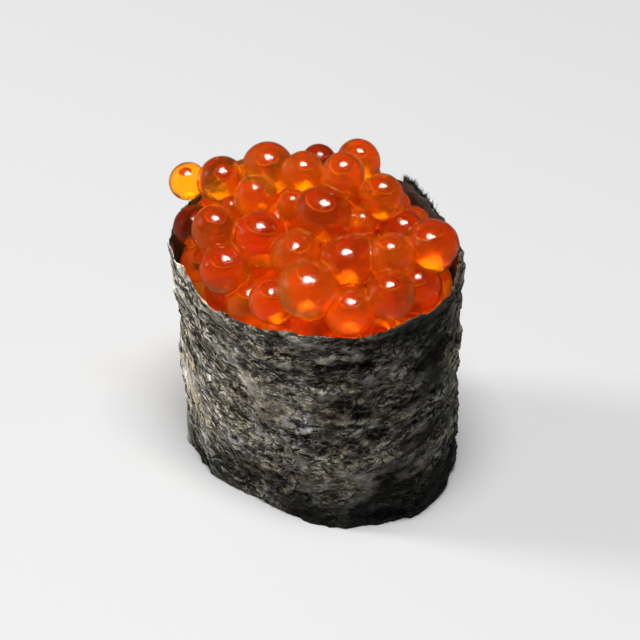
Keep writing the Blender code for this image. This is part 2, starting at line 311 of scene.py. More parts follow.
def lean_table():
    """How far the fibres have climbed by each angle: their slope is a bump on the left end,
    less its mean, summed along the arc so that it closes after one lap."""
    slope = bump(ARC_ANGLE, *GRAIN_LEAN)
    step = np.diff(ARC_LENGTH, prepend=0)
    slope -= (slope * step).sum() / step.sum()
    return np.cumsum(slope * step)


LEAN = lean_table()


def fibre_height(length, height):
    """Height measured across the fibres, which lean down to the right on the left end."""
    return height + np.interp(arc_to_angle(length) % TURN, ARC_ANGLE, LEAN)


def strip_grain(length, height, seed, cells, tall):
    """Smooth noise over the strip: so many cells go round it, each so many mm tall."""
    return grain(length / GIRTH * cells, height / (tall * MM), seed, cells)


def crumple(length, height, seed, cells, tall):
    """Sharp little ridges along the fibres, 1 - 2|noise|, with a wave in them."""
    over = fibre_height(length, height)
    wave = 0.6 * strip_grain(length, height, seed + 50, 23, 4) * (tall * MM)
    along = length / GIRTH * cells + 0.35 * strip_grain(length, over, seed + 51, 40, 1.5)
    return 1 - 2 * np.abs(grain(along, (over + wave) / (tall * MM), seed, cells))


def calm(length, height):
    """1 in the smooth patches, where the sheet lies flat, and 0 between them."""
    over = fibre_height(length, height)
    return smooth(0, 0.45, strip_grain(length, over, 41, 24, 3.6)
                  + 0.35 * strip_grain(length, over, 42, 60, 1.6))


def relief(length, height):
    """How far the outer face stands out: broad swells, folds along the fibres, and crinkles."""
    swell = strip_grain(length, fibre_height(length, height), 1, 13, 6)
    rough = 1 + 0.35 * strip_grain(length, height, 7, 19, 5)
    rough = rough * (1 - 0.6 * calm(length, height))
    drawn = bump(arc_to_angle(length) % TURN, *DRAWN)
    short, long = (sum(depth * crumple(length, height, *ridge) for depth, *ridge in ridges)
                   for ridges in (SHORT_RIDGES, LONG_RIDGES))
    return MM * (0.18 * swell + 1.25 * rough * (short * (1 - drawn) + long * drawn))


def rim_raggedness(length):
    """Small teeth and nicks along a cut edge."""
    return sum(depth * MM * grain(length / GIRTH * cells, 0.5, seed, cells)
               for depth, seed, cells in RIM_TEETH)


def strip_point(length, level, depth):
    """A point of the strip. The oval's point at this arc length is moved along the normal by
    the sway, the relief and, past one lap, the climb on to the layer below, less the depth
    into the sheet; the height is a share of the ragged rim's."""
    angle = arc_to_angle(length)
    rim = rim_height(angle) + rim_raggedness(length) - SAG - bump(angle, *DIP_SAG)
    height = np.maximum(rim * level, 0)
    climb = LAP * smooth(360 + LAP_START, 360 + LAP_START + LAP_CLIMB, np.degrees(angle))
    out = sway(angle, level) + relief(length, height) + climb - SUNK
    ground, normal = oval(angle)
    spot = ground + normal * (out - depth)[..., None]
    return lifted(spot, height)


def nori_glow(length, height):
    """Painted light on the seaweed: a painted sheen palest on the left end, painted shade darker
    at the foot and on the right, and a blotchy tone of its own."""
    angle = arc_to_angle(length) % TURN
    blotch = strip_grain(length, fibre_height(length, height), 31, 17, 5)
    foot = smooth(0, 11 * MM, height)
    pale = bump(angle, *PAINTED_SHEEN_LEFT) * (0.35 + 0.65 * foot)
    return 0.08 + 0.28 * foot + 0.40 * pale - bump(angle, *PAINTED_SHADE_RIGHT) + 0.12 * blotch


LINING_PAINTED_SHADE = 0.03  # painted shade: the lining is painted dark for the shade of the cup
TORN_WIDTH = 4 * MM  # how much of the free end is drawn out by the tear


def nori_sheet(finish):
    """The strip: a thin closed profile, up the outer face and down the inner one, carried
    round the oval from the hidden inner end over a whole lap to the torn free end."""
    profile = np.concatenate([np.linspace(0, 1, STRIP_ROWS),
                              np.linspace(1, 0, LINING_ROWS)])
    lining = np.arange(len(profile)) >= STRIP_ROWS
    hem = smooth(0, HEM, profile) * smooth(0, HEM, 1 - profile)
    depth = SHEET * (0.5 + np.where(lining, 0.5, -0.5) * hem)
    length, level = np.meshgrid(np.linspace(STRIP_START, STRIP_END, STRIP_COLUMNS), profile,
                                indexing="ij")
    torn = (1.1 * grain(level * 6, 0.5, 21) + 0.5 * grain(level * 27, 0.5, 22) - 0.6) * MM
    length = length + torn * smooth(STRIP_END - TORN_WIDTH, STRIP_END, length)
    points = strip_point(length, level, depth)
    ring = np.arange(length.size).reshape(length.shape)
    faces = ring_quads(ring[:-1], ring[1:]).tolist() + [ring[0].tolist(), ring[-1][::-1].tolist()]
    height = points[..., 2]
    # crest and glow carry painted shade and painted light to the finish
    made = piece("nori_sheet", points, faces, finish, "nori", along=length / MM,
                 across=fibre_height(length, height) / MM, calm=calm(length, height),
                 crest=0.5 + relief(length, height) / (1.1 * MM),
                 glow=np.where(lining, LINING_PAINTED_SHADE, nori_glow(length, height)))
    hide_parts("nori_band")


STRANDS, STRAND_STEPS, STRAND_SIDES = 2900, 8, 6
FRINGE, FRINGE_STEPS = 900, 4
ROOT_DEPTH, END_SETBACK = 0.4 * SHEET, 0.3 * MM  # where the fringe grows from


def nori_strands(finish, draw):
    """Shreds of seaweed that stand out of the sheet and wave along its fibres. The section is a
    flat ellipse that tapers to both ends as sin(pi t) does."""
    start = draw.uniform(STRIP_END - GIRTH, STRIP_END, STRANDS)
    share = draw.uniform(0.02, 0.985, STRANDS)
    shaggy = calm(start, share * RIM) < 0.4
    start, share = start[shaggy], share[shaggy]
    count = len(start)
    angle = arc_to_angle(start) % TURN
    left = bump(angle, *SHAGGY_AND_SHEEN)
    long = (draw.uniform(0.8, 2.4, count) * (1 + 0.8 * left) * MM)[:, None]
    wide = (draw.uniform(0.06, 0.20, count) * MM)[:, None, None]
    thick = (draw.uniform(0.04, 0.09, count) * MM)[:, None, None]
    slope = np.interp(angle, ARC_ANGLE, np.gradient(LEAN, ARC_LENGTH))
    lean = -np.arctan(slope) + draw.normal(0, 0.62, count) * (1 - 0.55 * left)
    t = np.linspace(0, 1, STRAND_STEPS)
    run = (t - 0.5) * long
    bend = draw.normal(0, 0.11, (count, 1)) * long * np.sin(np.pi * t)
    wave = draw.uniform(0, 0.05, (count, 1)) * MM * np.sin(TURN * 2 * t + 6 * share[:, None])
    turn = steps_round(STRAND_SIDES)
    taper = (np.sin(np.pi * (0.04 + 0.92 * t)) ** 0.7)[:, None]
    across = (bend + wave)[..., None] + wide * taper * np.cos(turn)
    lift = thick * taper * np.sin(turn) * 1.3 + 0.35 * thick
    cos, sin = np.cos(lean)[:, None, None], np.sin(lean)[:, None, None]
    length = start[:, None, None] + run[..., None] * cos - across * sin
    rise = run[..., None] * sin + across * cos
    rim = rim_height(angle)[:, None, None]
    level = np.clip(share[:, None, None] + rise / rim, 0.004, 0.996)
    points = strip_point(np.minimum(length, STRIP_END - 0.2 * MM), level, -lift)
    faces = sliver_faces(STRAND_STEPS, STRAND_SIDES, count)
    # painted light in the shreds' tint: paler on the left end as painted sheen, and scaled by the
    # strip's painted light
    tint = 0.32 + draw.random(count) * 0.54 + 0.30 * left * draw.random(count)
    tint = tint * np.clip(nori_glow(start, share * RIM) / 0.36, 0.45, 1.05)
    piece("nori_strands", points, faces, finish, "nori",
          tint=np.repeat(tint, STRAND_STEPS * STRAND_SIDES))


def nori_fringe(finish, draw):
    """Torn fibres that stand up along the rim: straight tapered slivers, longest at the free
    end, where some also point onwards round the oval."""
    at_end = draw.random(FRINGE) < 0.45
    short = np.abs(draw.normal(0, 2.5, FRINGE)) * MM
    start = np.where(at_end, STRIP_END - short - END_SETBACK,
                     draw.uniform(STRIP_END - GIRTH, STRIP_END, FRINGE))
    onwards = draw.random(FRINGE) < 0.35 * at_end
    level = np.where(onwards, draw.uniform(0.2, 1, FRINGE), 0.99)
    onwards = level < 0.95
    start = np.where(onwards, STRIP_END - END_SETBACK, start)
    root = strip_point(start, level, ROOT_DEPTH)
    tangent = strip_point(start + 0.05 * MM, level, ROOT_DEPTH) - root
    tangent[:, 2] = 0
    tangent = unit(tangent)
    outward = np.column_stack([tangent[:, 1], -tangent[:, 0], np.zeros(FRINGE)])
    up = np.where(onwards, draw.uniform(0, 0.6, FRINGE), 1)[:, None] * [0, 0, 1]
    lean = np.where(onwards, 1, draw.normal(0.15, 0.6, FRINGE))
    way = unit(up + tangent * lean[:, None] + outward * draw.normal(0.12, 0.25, (FRINGE, 1)))
    long = (draw.uniform(0.3, 0.8, FRINGE) * (1 + 1.3 * at_end) * MM)[:, None]
    wide = draw.uniform(0.05, 0.12, FRINGE) * MM
    side = unit(np.cross(way, outward))[:, None]
    face = np.cross(way[:, None], side)
    t = np.linspace(0, 1, FRINGE_STEPS)
    taper = 1 - 0.85 * t ** 1.5
    turn = steps_round(STRAND_SIDES)[:, None]
    ring = side * np.cos(turn) + 0.6 * face * np.sin(turn)
    line = root[:, None] + way[:, None] * ((t - 0.25) * long)[..., None]
    line = line + side * (draw.normal(0, 0.2, (FRINGE, 1)) * long * t ** 2)[..., None]
    points = line[:, :, None] + ring[:, None] * (wide[:, None] * taper)[..., None, None]
    faces = sliver_faces(FRINGE_STEPS, STRAND_SIDES, FRINGE)
    tint = draw.uniform(0, 0.62, FRINGE)
    piece("nori_fringe", points, faces, finish, "nori",
          tint=np.repeat(tint, FRINGE_STEPS * STRAND_SIDES))


# ---- the rice

GRAINS, GRAIN_AROUND, GRAIN_RINGS = 460, 8, 6
FLAT_GRAINS = 110  # of them, on the underside and again on the top
GRAIN_LONG, GRAIN_WIDE, GRAIN_DEEP = 6.2 * MM, 2.6 * MM, 2.2 * MM
GRAIN_BED = 0.45 * GRAIN_DEEP  # how deep its middle lies
GRAIN_FREE = 1.5 * MM  # least distance from the top or the table of grains at the wall
CORE_AROUND, CORE_INSET = 72, 1.5 * MM
CORE_HEIGHTS = (27.3, 24, 18, 10, 4, 1.2)  # mm


def press_inside(points, inset):
    """Bring points that stick out of the strip back to its inner face, and up to the table."""
    points[..., 2] = np.maximum(points[..., 2], 0)
    angle = np.arctan2(power(points[..., 1] / HALF_WIDE, SQUARENESS / 2),
                       power(points[..., 0] / HALF_LONG, SQUARENESS / 2))
    level = np.clip(points[..., 2] / RIM, 0, 1)
    room = norm(oval(angle, inset - sway(angle, level))[0], axis=-1)
    far = norm(points[..., :2], axis=-1)
    points[..., :2] *= np.minimum(1, room / np.maximum(far, 1e-9))[..., None]
    return points


def rice_core(finish):
    """The pressed mass under the outer grains: the oval, inset, between two flat faces."""
    turn = steps_round(CORE_AROUND)
    height = np.array(CORE_HEIGHTS) * MM
    rows = [lifted(oval(turn, CORE_INSET - sway(turn, z / RIM))[0], z) for z in height]
    points = np.vstack([[0, 0, height[0]], *rows, [0, 0, height[-1]]])
    made = piece("rice_core", points, ball_faces(CORE_AROUND, len(height), 1), finish, "rice")
    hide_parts("rice_bed")


def rice_grains(finish, draw):
    """Cooked grains pressed against the underside, the top and the wall. Each is an ellipsoid,
    fuller at one end, that lies in the surface and is flattened where it meets the strip."""
    order = np.arange(GRAINS)
    below, above = order < FLAT_GRAINS, (order >= FLAT_GRAINS) & (order < 2 * FLAT_GRAINS)
    flat = below | above
    share = np.where(flat, np.sqrt((order % FLAT_GRAINS + 0.5) / FLAT_GRAINS) * 0.93, 1)
    turn = order * GOLDEN + draw.normal(0, 0.06, GRAINS)
    height = np.select([below, above], [0.40 * GRAIN_DEEP, RICE_TOP - GRAIN_BED],
                       draw.uniform(GRAIN_FREE, RICE_TOP - GRAIN_FREE, GRAINS))
    height = height + draw.uniform(0, 0.35 * MM, GRAINS) * np.where(above, -1, 1)
    wall, normal = oval(turn, WALL + GRAIN_BED - sway(turn, height / RIM))
    centre = lifted(wall * share[:, None], height)
    face = np.where(flat[:, None], [0, 0, 1], lifted(normal, 0))
    way = unit(np.cross(face, draw.normal(size=(GRAINS, 3))))
    side = np.cross(face, way)
    shape = ball_directions(GRAIN_AROUND, GRAIN_RINGS)
    size = draw.uniform(0.86, 1.12, (GRAINS, 1))
    along = shape[:, 2] * GRAIN_LONG / 2 * size
    belly = 1 + 0.12 * shape[:, 2] - 0.18 * shape[:, 2] ** 2
    across = shape[:, 0] * belly * GRAIN_WIDE / 2 * size
    deep = shape[:, 1] * belly * GRAIN_DEEP / 2 * size
    bend = draw.normal(0, 0.10, (GRAINS, 1)) * GRAIN_LONG * (shape[:, 2] ** 2 - 0.4)
    points = (centre[:, None] + way[:, None] * along[..., None]
              + side[:, None] * (across + bend)[..., None] + face[:, None] * deep[..., None])
    points = press_inside(points, WALL + 0.15 * MM)
    points[..., 2] = np.minimum(points[..., 2], RICE_TOP)
    faces = ball_faces(GRAIN_AROUND, GRAIN_RINGS, GRAINS)
    piece("rice_grains", points, faces, finish, "rice")


# ---- the roe

def start_eggs():
    """Centres and radii before settling: the landmark eggs, then loose ones on a golden-angle
    spiral, at seeded heights."""
    draw = default_rng(SEED)
    eggs = []
    for angle, share, over, radius in LANDMARK_EGGS.values():
        turn = np.radians(angle)
        eggs.append([*oval(turn)[0] * share, rim_height(turn) + over * MM, radius * MM])
    for number in range(LOOSE_EGGS):
        share = np.sqrt(draw.uniform(0.02, 0.9))
        eggs.append([*oval(number * GOLDEN)[0] * share, draw.uniform(*LOOSE_HEIGHTS),
                     np.clip(draw.normal(EGG_MEAN, EGG_SPREAD), EGG_MIN, EGG_MAX)])
    eggs = np.array(eggs)
    held = (np.arange(len(eggs)) < len(LANDMARK_EGGS)).astype(float)
    return eggs[:, :3], eggs[:, 3], held


def strip_faces():
    """The strip as the eggs meet it: its top edge, its inner face and that face's normals."""
    walk = np.linspace(0, TURN, 240, endpoint=False)
    edge = lifted(oval(walk, WALL / 2 - sway(walk, 1))[0], rim_height(walk))
    inner, outward = oval(walk, WALL - np.minimum(sway(walk, 0.8), sway(walk, 1)))
    return edge, inner, outward


def rim_beside(centre):
    """Height of the strip's edge beside each egg."""
    return rim_height(np.arctan2(centre[:, 1] / HALF_WIDE, centre[:, 0] / HALF_LONG))


def nearest(points, centre):
    """Which point is nearest to each centre, and the way from it to the centre."""
    off = centre[:, None] - points
    near = (off ** 2).sum(-1).argmin(1)
    return near, off[np.arange(len(centre)), near]


def keep_off_strip(centre, radius, held, faces):
    """Move each egg straight out of the strip: inwards from its face when the egg is below the
    rim, and away from its edge. Loose eggs above the rim keep their middles over the cup."""
    edge, inner, outward = faces
    near, off = nearest(inner, centre[:, :2])
    room = -(off * outward[near]).sum(1)
    want = np.where(held > 0, -HALF_LONG, OVERHANG * radius)
    want = np.where(centre[:, 2] < rim_beside(centre), radius + CLEARANCE, want)
    back = np.maximum(want - room, 0)
    centre = centre - lifted(outward[near], 0) * back[:, None]
    off = nearest(edge, centre)[1]
    far = norm(off, axis=1)
    out = np.maximum(radius + WALL / 2 + CLEARANCE - far, 0)
    return centre + off / far[:, None] * out[:, None]


def settle_eggs():
    """Push the eggs apart, off the rice and off the strip, and down under a domed top, until
    they lie in each other's hollows. Landmark eggs are pulled back to their places."""
    centre, radius, held = start_eggs()
    home = centre.copy()
    faces = strip_faces()
    touching = (radius[:, None] + radius) * EGG_GIVE
    for _ in range(SETTLE_STEPS):
        apart = centre[:, None] - centre
        length = np.sqrt((apart ** 2).sum(-1)) + np.eye(len(centre))
        short = np.maximum(touching - length, 0)
        np.fill_diagonal(short, 0)
        push = (apart / length[..., None] * short[..., None] * EGG_PUSH).sum(1)
        rim = rim_beside(centre)
        reach = np.hypot(centre[:, 0] / HALF_LONG, (centre[:, 1] - CROWN_BACK) / HALF_WIDE)
        dome = rim + BROW + (CROWN - BROW) * (1 - np.clip(reach, 0, 1.2) ** 3)
        over = centre[:, 2] - dome + UNDER * (1 - held)
        push[:, 2] -= DOME_PULL * np.maximum(over, 0) + WEIGHT
        floor = RICE_TOP + CLEARANCE + radius
        push[:, 2] += RICE_PUSH * np.maximum(floor - centre[:, 2], 0)
        cling = CLING * (1 - held) * (centre[:, 2] > rim + BROW)
        push[:, :2] -= centre[:, :2] * cling[:, None]
        push += (home - centre) * held[:, None] * HOME_PULL
        stride = norm(push, axis=1, keepdims=True)
        centre = centre + push * np.minimum(1, STRIDE / np.maximum(stride, 1e-12))
        centre = keep_off_strip(centre, radius, held, faces)
    return centre, radius


EGG_AROUND, EGG_RINGS = 36, 20
CREASED = ("creased", "side", "breast", "lip")  # eggs whose skin has folded
SKIN_CREASE, DEEP_CREASE, CREASE_SHARE = 0.004, 0.055, 0.12
# how far an egg has cleared: 0 is deep red-brown, and 1 amber; the others are drawn. The corner
# egg is set to 0 as painted shade, for the shade it lies in by the strip
RIPENESS_AND_SHADE = {"corner": 0, "dark": 0.05, "stray": 1, "back": 1,
            "left": 0.30, "side": 0.35, "front": 0.90}
DROP_AROUND, DROP_RINGS = 24, 12
PLUMP = 1.15  # an egg's true radius over its settled one
CONTACT_SOFTNESS = 0.065  # share of a radius over which a contact's edge is rounded
CONTACT_GAP = 0.03 * MM
LEAST_FACING = 0.05  # cosine; a neighbour further aside doesn't cut an egg off
FILL_POINTS = 24000
FILL_LEAST, FILL_MOST = 2 * MM, 3.2 * MM  # radii of the eggs in the hollows
FILL_PRESS = 1.2 * MM  # how much larger they are than their hollow
# how high they reach, over the rim in the middle and under it at the wall
FILL_TOP, FILL_EDGE = 5.5 * MM, 1.2 * MM


def landmark(name):
    """Which egg this is, as landmark eggs come first."""
    return list(LANDMARK_EGGS).index(name)


def neighbours(centre, radius):
    """From each egg to each other one: the distance, the direction, and how far away the plane
    lies where the two balls meet."""
    full = radius * PLUMP
    apart = centre - centre[:, None]
    far = norm(apart, axis=-1) + np.eye(len(centre))
    plane = (far ** 2 + full[:, None] ** 2 - full ** 2) / (2 * far)
    return full, far, apart / far[..., None], plane


def egg_reach(centre, radius, lumps, direction):
    """How far each egg reaches in each direction. It starts from the radius with a few broad
    lumps; each neighbour cuts it off at the plane where the two balls meet, with a rounded
    edge: a smooth minimum, -k log(exp(-a/k) + exp(-b/k))."""
    full, far, towards, plane = neighbours(centre, radius)
    reach = full[:, None] * (1 + (lumps[:, None] * direction ** 2).sum(-1))
    softness = (CONTACT_SOFTNESS * full)[:, None]
    total = np.exp(-(reach - full[:, None]) / softness)
    for number in range(len(centre)):
        near = np.flatnonzero(far[number] < (full[number] + full) * 1.12)
        near = near[near != number]
        along = direction[number] @ towards[number, near].T
        limit = (plane[number, near] - CONTACT_GAP) / np.maximum(along, LEAST_FACING)
        scaled = np.exp(-(limit - full[number]) / softness[number])
        total[number] += (scaled * (along > LEAST_FACING)).sum(1)
    return full[:, None] - softness * np.log(total)


def fill_gaps(centre, radius, draw):
    """More eggs for the hollows of the heap. Of a seeded cloud of points in the cup, the one
    furthest from every egg's skin gets the next egg, a little too large, so that it presses
    against its neighbours, until no hollow is left."""
    share = np.sqrt(draw.random(FILL_POINTS))
    turn = draw.uniform(0, TURN, FILL_POINTS)
    wall = oval(turn, WALL)[0]
    room = norm(wall, axis=-1) * (1 - share) * 0.85
    low = RICE_TOP + FILL_LEAST
    top = rim_height(turn) + FILL_TOP * (1 - share ** 2) - FILL_EDGE
    height = low + (top - low) * draw.random(FILL_POINTS)
    cloud = lifted(wall * share[:, None], height)
    clear = (norm(cloud[:, None] - centre, axis=-1) - radius * PLUMP).min(1)
    clear = np.minimum(clear, room - FILL_PRESS - 0.3 * MM)
    added = []
    while clear.max() > FILL_LEAST - FILL_PRESS:
        best = clear.argmax()
        size = min(clear[best] + FILL_PRESS, FILL_MOST) / PLUMP
        added.append([*cloud[best], size])
        clear = np.minimum(clear, norm(cloud - cloud[best], axis=-1) - size * PLUMP)
    added = np.array(added)
    return np.vstack([centre, added[:, :3]]), np.concatenate([radius, added[:, 3]])


def crease_depth(direction, draw):
    """Share of the radius that creases take off the skin: three families of narrow furrows, each
    (1 - |sin|)^3 of the place along its own axis, deep on the creased eggs only."""
    count, first = len(direction), len(LANDMARK_EGGS)
    depth = np.full(count, SKIN_CREASE)
    depth[[landmark(name) for name in CREASED]] = DEEP_CREASE
    depth[first:][draw.random(count - first) < CREASE_SHARE] = DEEP_CREASE
    total = 0
    for _ in range(3):
        axis = unit(draw.normal(size=(count, 3)))
        place = (direction * axis[:, None]).sum(-1) + 0.12 * np.sin(5 * direction[..., 0])
        wave = np.sin(3.4 * place + draw.uniform(0, TURN, (count, 1)))
        total = np.maximum(total, (1 - np.abs(wave)) ** 3)
    return depth[:, None] * total


def roe_eggs(finish, centre, radius, lumps, draw):
    """Every egg as a ball of its own grid, turned at random and flattened where it touches."""
    turns = random_turns(len(centre), draw)
    direction = np.einsum("nij,mj->nmi", turns, ball_directions(EGG_AROUND, EGG_RINGS))
    reach = egg_reach(centre, radius, lumps, direction)
    reach = reach * (1 - crease_depth(direction, default_rng(CREASE_SEED)))
    points = centre[:, None] + direction * reach[..., None]
    faces = ball_faces(EGG_AROUND, EGG_RINGS, len(centre))
    ripeness = draw.uniform(0.15, 1, len(centre))
    for name, value in RIPENESS_AND_SHADE.items():
        ripeness[landmark(name)] = value
    # lift rises to the top of each egg, less on riper eggs; the finish paints shade with it
    made = piece("roe_eggs", points, faces, finish, "roe",
                 ripeness=np.repeat(ripeness, points.shape[1]),
                 lift=(direction[..., 2] + 0.30 - 0.80 * ripeness[:, None]) * 0.5 + 0.5)
    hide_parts("roe_heap")


def oil_drops(finish, centre, radius, lumps, draw):
    """The oil that floats inside each egg: a flat drop under its top, tipped a little, and kept
    within the egg's skin."""
    count = len(centre)
    shape = ball_directions(DROP_AROUND, DROP_RINGS)
    size = radius * draw.uniform(0.30, 0.54, count)
    drift = draw.normal(0, 0.09, (count, 3)) * [1, 1, 0.7] + [0, 0, 0.50]
    tip = draw.normal(0, 0.16, (count, 2))
    local = shape * [1, 1, 0.48] * size[:, None, None]
    local[..., 2] += (local[..., :2] * tip[:, None]).sum(-1)
    local += drift[:, None] * radius[:, None, None]
    far = norm(local, axis=-1)
    direction = local / far[..., None]
    reach = egg_reach(centre, radius, lumps, direction)
    points = centre[:, None] + direction * np.minimum(far, 0.94 * reach)[..., None]
    faces = ball_faces(DROP_AROUND, DROP_RINGS, count)
    piece("oil_drops", points, faces, finish, "roe",
          edge=np.tile(1 - np.abs(shape[:, 2]), count))


FILM_AROUND, FILM_SIDES = 36, 5
FILM_THICK, FILM_LEAST, FILM_DEPTH = 0.19 * MM, 0.6 * MM, 4 * MM
FILM_TOUCH = 0.985  # distance, as a share of the radii, at which eggs are joined


def roe_film(finish, centre, radius, draw):
    """The wet bead in the crease where two eggs meet: a thin ring round each contact circle,
    thicker and thinner along its way."""
    full, far, towards, plane = neighbours(centre, radius)
    pairs = np.nonzero(np.triu(far < FILM_TOUCH * (full[:, None] + full), 1))
    way, plane, first = towards[pairs], plane[pairs], pairs[0]
    ring = np.sqrt(np.maximum(full[first] ** 2 - plane ** 2, 0)) - 0.5 * FILM_THICK
    spot = centre[first] + way * plane[:, None]
    shown = (ring > FILM_LEAST) & (spot[:, 2] > rim_beside(spot) - FILM_DEPTH)
    way, ring, spot = way[shown], ring[shown], spot[shown]
    side = unit(np.cross(way, draw.normal(size=way.shape)))
    other = np.cross(way, side)
    turn = steps_round(FILM_AROUND)[:, None, None]
    tube = steps_round(FILM_SIDES)[:, None]
    phase = draw.uniform(0, TURN, (len(way), 1, 1, 2))
    thick = FILM_THICK * (0.7 + 0.25 * np.sin(3 * turn + phase[..., :1])
                          + 0.20 * np.sin(7 * turn + phase[..., 1:]))
    out = side[:, None, None] * np.cos(turn) + other[:, None, None] * np.sin(turn)
    points = (spot[:, None, None] + out * (ring[:, None, None, None] + thick * np.cos(tube))
              + way[:, None, None] * thick * np.sin(tube))
    rings = np.arange(FILM_AROUND * FILM_SIDES).reshape(FILM_AROUND, FILM_SIDES)
    faces = repeated(ring_quads(rings, np.roll(rings, -1, axis=0)), len(way), rings.size)
    piece("roe_film", points, faces, finish, "roe")


JUICE_AROUND, JUICE_RINGS = 96, 16
JUICE_LOW, JUICE_RISE = 5.5 * MM, 4.5 * MM  # how far under the rim it stands, and its dome


def roe_juice(finish):
    """The filling under the eggs that show: a low dome, rise * (1 - share^2) over the wall's
    height, with a flat underside on the rice."""
    share = np.linspace(0, 1, JUICE_RINGS + 1)[1:, None]
    turn = steps_round(JUICE_AROUND)
    wall = oval(turn, WALL + 0.1 * MM - sway(turn, 0.85))[0]
    peak, low = RIM - JUICE_LOW + JUICE_RISE, RICE_TOP + CLEARANCE
    height = rim_height(turn) - JUICE_LOW + JUICE_RISE * (1 - share ** 2)
    height = height * share + peak * (1 - share)
    skin = lifted(wall * share[..., None], height).reshape(-1, 3)
    points = np.vstack([[0, 0, peak], skin, lifted(wall, low), [0, 0, low]])
    faces = ball_faces(JUICE_AROUND, JUICE_RINGS + 1, 1)
    piece("roe_juice", points, faces, finish, "roe")


# ---- finishes

def rgba(colour):
    """A colour as a socket holds it; a plain number is a grey."""
    return (*(colour if isinstance(colour, tuple) else (colour,) * 3), 1)


def add_node(tree, kind, inputs=(), **settings):
    """A new node in a tree: what its inputs hold or are fed by, and its other settings."""
    node = tree.nodes.new("ShaderNode" + kind)
    for key, value in settings.items():
        setattr(node, key, value)
    for key, value in dict(inputs).items():
        socket = node.inputs[key]
        if isinstance(value, bpy.types.NodeSocket):
            tree.links.new(value, socket)
        else:
            socket.default_value = rgba(value) if socket.type == "RGBA" else value
    return node


class Finish:
    """A material with its Principled shader, and short ways to add nodes to it and link them."""

    def __init__(self, name, **values):
        self.material = bpy.data.materials.new(name)
        self.material.use_nodes = True
        self.tree = self.material.node_tree
        self.add = partial(add_node, self.tree)
        self.link = self.tree.links.new
        self.shader = self.tree.nodes["Principled BSDF"]
        for socket, value in values.items():
            self.shader.inputs[socket.replace("_", " ")].default_value = value

    def place(self):
        """Where a point is on the object."""
        return self.add("TexCoord").outputs["Object"]

    def attribute(self, name):
        """The mark that each point of the piece carries under this name."""
        return self.add("Attribute", attribute_name=name).outputs["Fac"]

    def noise(self, vector, scale, detail=2, roughness=0.5, distortion=0):
        """Noise from 0 to 1, with scale features to each unit of the vector."""
        node = self.add("TexNoise", {"Vector": vector, "Scale": scale, "Detail": detail,
                                     "Roughness": roughness, "Distortion": distortion})
        return node.outputs["Fac"]

    def ramp(self, source, *stops):
        """A colour ramp of (place, colour) stops."""
        node = self.add("ValToRGB", {"Fac": source})
        elements = node.color_ramp.elements
        while len(elements) < len(stops):
            elements.new(1)
        for element, (place, colour) in zip(elements, stops):
            element.position = place
            element.color = rgba(colour)
        return node.outputs["Color"]

    def mottle(self, scale, dark, light):
        """Two colours that run into each other in soft patches."""
        return self.ramp(self.noise(self.place(), scale), (0.3, dark), (0.7, light))

    def mix(self, factor, first, second, kind="MIX"):
        """Two colours mixed by a factor. The node takes the factor in socket 0 and the colours
        in sockets 6 and 7."""
        node = self.add("Mix", {0: factor, 6: first, 7: second}, data_type="RGBA", blend_type=kind)
        return node.outputs[2]

    def multiply(self, first, second):
        """Two colours multiplied."""
        return self.mix(1, first, second, "MULTIPLY")

    def tone(self, colour, source, *stops):
        """A colour multiplied by a ramp."""
        return self.multiply(colour, self.ramp(source, *stops))

    def paint(self, colour):
        """Use a colour socket as the shader's own colour."""
        self.link(colour, self.shader.inputs["Base Color"])

    def bump(self, height, strength, distance):
        """Uneven the surface by a height socket."""
        node = self.add("Bump", {"Height": height, "Strength": strength, "Distance": distance})
        self.link(node.outputs["Normal"], self.shader.inputs["Normal"])


